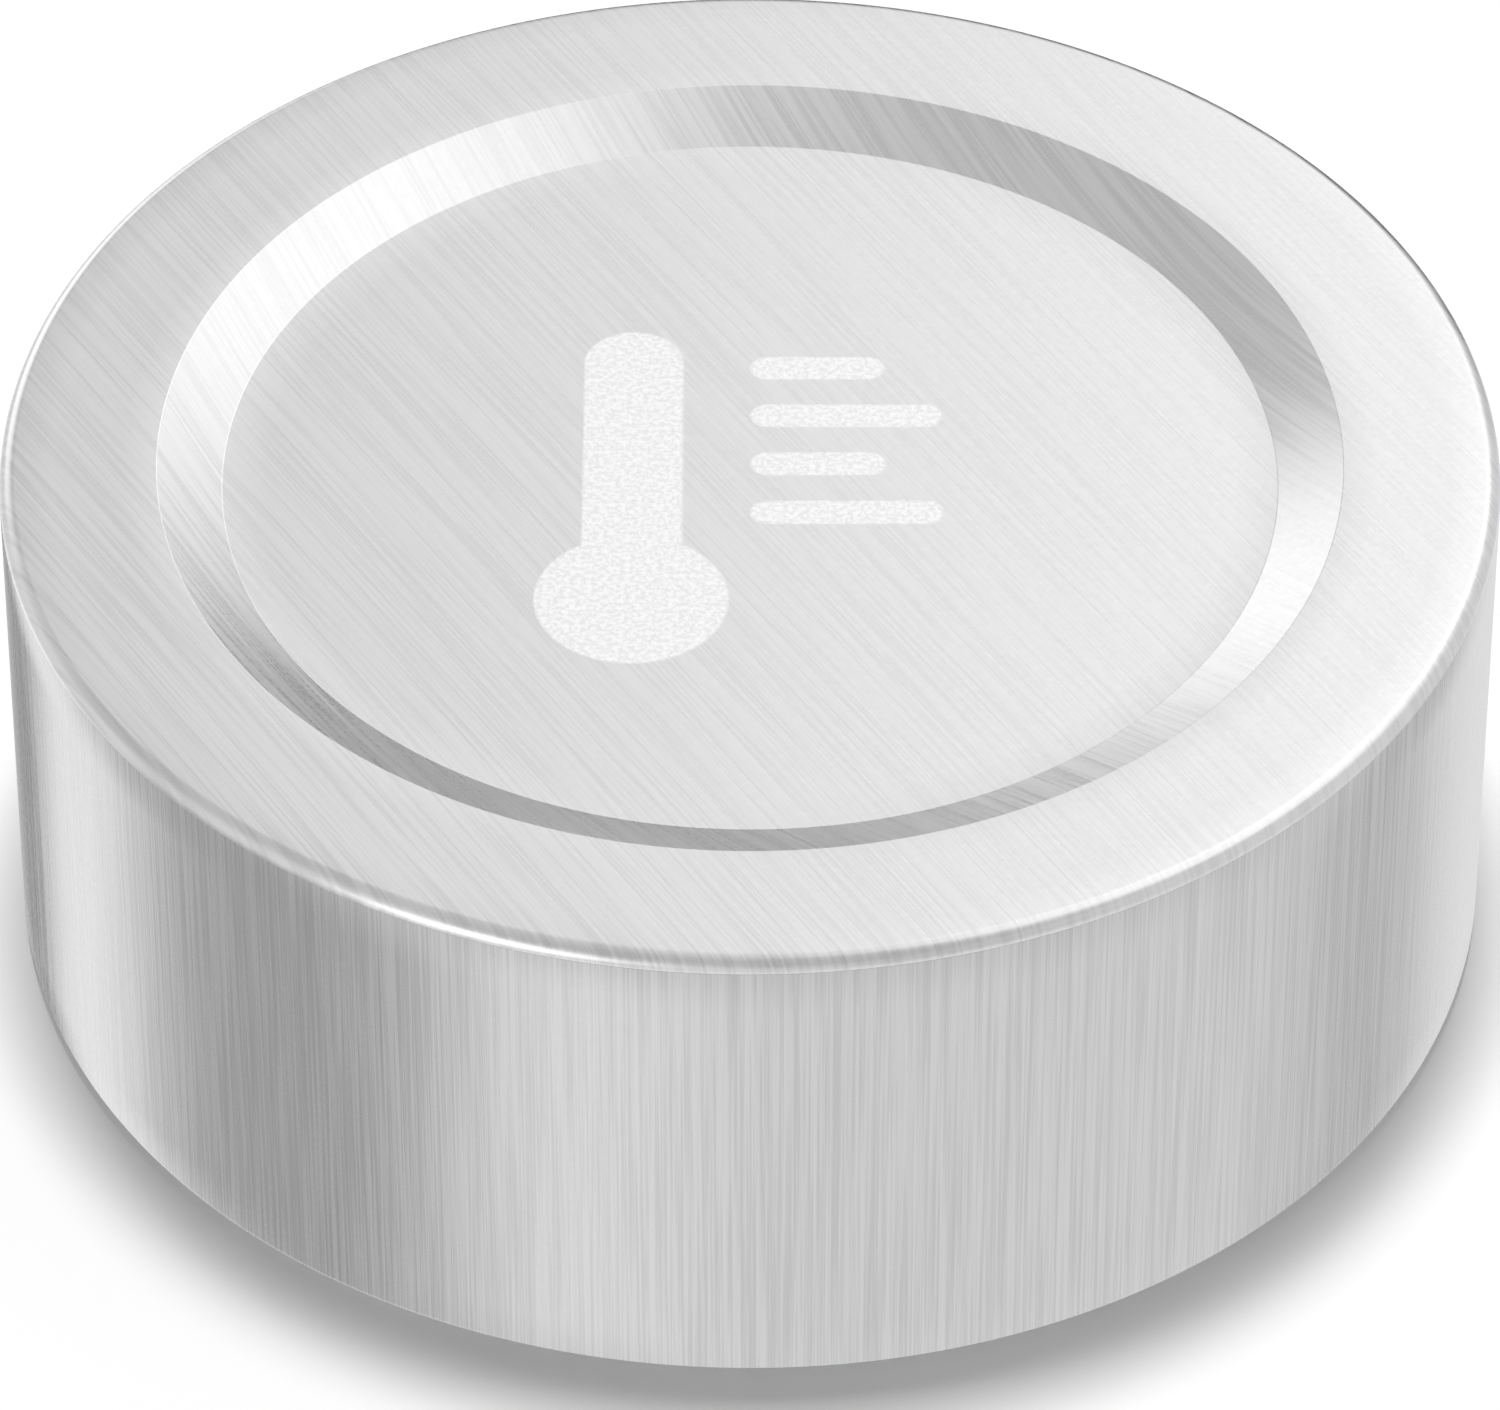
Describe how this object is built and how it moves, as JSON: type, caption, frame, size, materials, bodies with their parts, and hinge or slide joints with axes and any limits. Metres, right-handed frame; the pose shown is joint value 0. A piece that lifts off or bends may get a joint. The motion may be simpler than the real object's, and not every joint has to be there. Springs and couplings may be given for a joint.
{
  "type": "wall thermostat",
  "caption": "Round wall thermostat: turned metal dial cap that turns and presses, on a head that pulls off a wall plate with push-in terminals.",
  "frame": {"origin": "centre of the wall plate's back face, on the wall", "axes": "+Z out of the wall along the dial's axis, +Y up on the wall, +X to the right of someone facing it"},
  "size_m": [0.084, 0.084, 0.0311],
  "materials": {
    "dial_metal": "linear brushed top, vertically brushed side",
    "white_plastic": "fine moulded texture",
    "grey_plastic": "moulded satin",
    "black_plastic": "moulded satin",
    "carrier_nylon": "natural nylon",
    "gear_acetal": "smooth acetal",
    "circuit_board": "green solder mask over glass fibre",
    "spring_steel": "rolled strip",
    "race_steel": "ground bearing steel",
    "ball_steel": "polished",
    "cage_brass": "satin",
    "screw_zinc": "zinc plated",
    "shield_tin": "tin-plated sheet",
    "relay_plastic": "moulded gloss",
    "battery_film": "foil pouch",
    "tab_plastic": "moulded orange",
    "vial_fluid": "clear tube of tinted fluid"
  },
  "bodies": {
    "wall_base": {"wall_plate": "white_plastic", "terminal_board": "circuit_board", "terminal_block_left": "grey_plastic", "terminal_block_right": "grey_plastic", "heating_relay": "relay_plastic", "cooling_relay": "relay_plastic", "base_connector": "black_plastic", "level_vial": "vial_fluid", "board_screw_1": "screw_zinc", "board_screw_2": "screw_zinc", "retaining_clip_1": "spring_steel", "retaining_clip_2": "spring_steel", "retaining_clip_3": "spring_steel", "retaining_clip_4": "spring_steel"},
    "head": {"chassis": "white_plastic", "rear_cover": "white_plastic", "cover_screw_1": "screw_zinc", "cover_screw_2": "screw_zinc", "cover_screw_3": "screw_zinc", "cover_screw_4": "screw_zinc", "main_board": "circuit_board", "processor_shield": "shield_tin", "radio_module": "shield_tin", "backup_battery": "battery_film", "climate_sensor": "black_plastic", "buzzer": "black_plastic", "press_switch": "black_plastic", "head_connector": "black_plastic", "encoder_body": "black_plastic", "wave_spring": "spring_steel"},
    "press_unit": {"dial_hub": "white_plastic", "bearing_inner_race": "race_steel", "switch_plunger": "grey_plastic"},
    "dial": {"dial_cap": "dial_metal", "dial_carrier": "carrier_nylon", "bearing_outer_race": "race_steel"},
    "ball_cage": {"bearing_cage": "cage_brass", "bearing_ball_1": "ball_steel", "bearing_ball_2": "ball_steel", "bearing_ball_3": "ball_steel", "bearing_ball_4": "ball_steel", "bearing_ball_5": "ball_steel", "bearing_ball_6": "ball_steel", "bearing_ball_7": "ball_steel", "bearing_ball_8": "ball_steel", "bearing_ball_9": "ball_steel", "bearing_ball_10": "ball_steel"},
    "encoder_pinion": {"encoder_gear": "gear_acetal"},
    "tab_1": {"release_tab_1": "tab_plastic"},
    "tab_2": {"release_tab_2": "tab_plastic"},
    "tab_3": {"release_tab_3": "tab_plastic"},
    "tab_4": {"release_tab_4": "tab_plastic"},
    "tab_5": {"release_tab_5": "tab_plastic"},
    "tab_6": {"release_tab_6": "tab_plastic"},
    "tab_7": {"release_tab_7": "tab_plastic"},
    "tab_8": {"release_tab_8": "tab_plastic"}
  },
  "joints": [
    {"name": "head_release", "type": "slide", "parent": "wall_base", "child": "head", "axis": [0, 0, 1], "range_m": [0, 0.04]},
    {"name": "dial_press", "type": "slide", "parent": "head", "child": "press_unit", "axis": [0, 0, -1], "range_m": [0, 0.0003], "stiffness_N_per_m": 4000, "springref_m": -0.0005, "deforming": ["wave_spring"]},
    {"name": "dial_turn", "type": "hinge", "parent": "press_unit", "child": "dial", "pos_m": [0, 0, 0.0243], "axis": [0, 0, 1], "continuous": true},
    {"name": "cage_turn", "type": "hinge", "parent": "press_unit", "child": "ball_cage", "pos_m": [0, 0, 0.0243], "axis": [0, 0, 1], "continuous": true},
    {"name": "encoder_turn", "type": "hinge", "parent": "head", "child": "encoder_pinion", "pos_m": [0, 0.031, 0.0222], "axis": [0, 0, 1], "continuous": true},
    {"name": "tab_1_press", "type": "slide", "parent": "wall_base", "child": "tab_1", "axis": [0, 0, -1], "range_m": [0, 0.0007], "stiffness_N_per_m": 600, "springref_m": -0.0005},
    {"name": "tab_2_press", "type": "slide", "parent": "wall_base", "child": "tab_2", "axis": [0, 0, -1], "range_m": [0, 0.0007], "stiffness_N_per_m": 600, "springref_m": -0.0005},
    {"name": "tab_3_press", "type": "slide", "parent": "wall_base", "child": "tab_3", "axis": [0, 0, -1], "range_m": [0, 0.0007], "stiffness_N_per_m": 600, "springref_m": -0.0005},
    {"name": "tab_4_press", "type": "slide", "parent": "wall_base", "child": "tab_4", "axis": [0, 0, -1], "range_m": [0, 0.0007], "stiffness_N_per_m": 600, "springref_m": -0.0005},
    {"name": "tab_5_press", "type": "slide", "parent": "wall_base", "child": "tab_5", "axis": [0, 0, -1], "range_m": [0, 0.0007], "stiffness_N_per_m": 600, "springref_m": -0.0005},
    {"name": "tab_6_press", "type": "slide", "parent": "wall_base", "child": "tab_6", "axis": [0, 0, -1], "range_m": [0, 0.0007], "stiffness_N_per_m": 600, "springref_m": -0.0005},
    {"name": "tab_7_press", "type": "slide", "parent": "wall_base", "child": "tab_7", "axis": [0, 0, -1], "range_m": [0, 0.0007], "stiffness_N_per_m": 600, "springref_m": -0.0005},
    {"name": "tab_8_press", "type": "slide", "parent": "wall_base", "child": "tab_8", "axis": [0, 0, -1], "range_m": [0, 0.0007], "stiffness_N_per_m": 600, "springref_m": -0.0005}
  ],
  "couplings": [
    {"joint": "cage_turn", "follows": "dial_turn", "ratio": 0.5397},
    {"joint": "encoder_turn", "follows": "dial_turn", "ratio": 7.2}
  ]
}
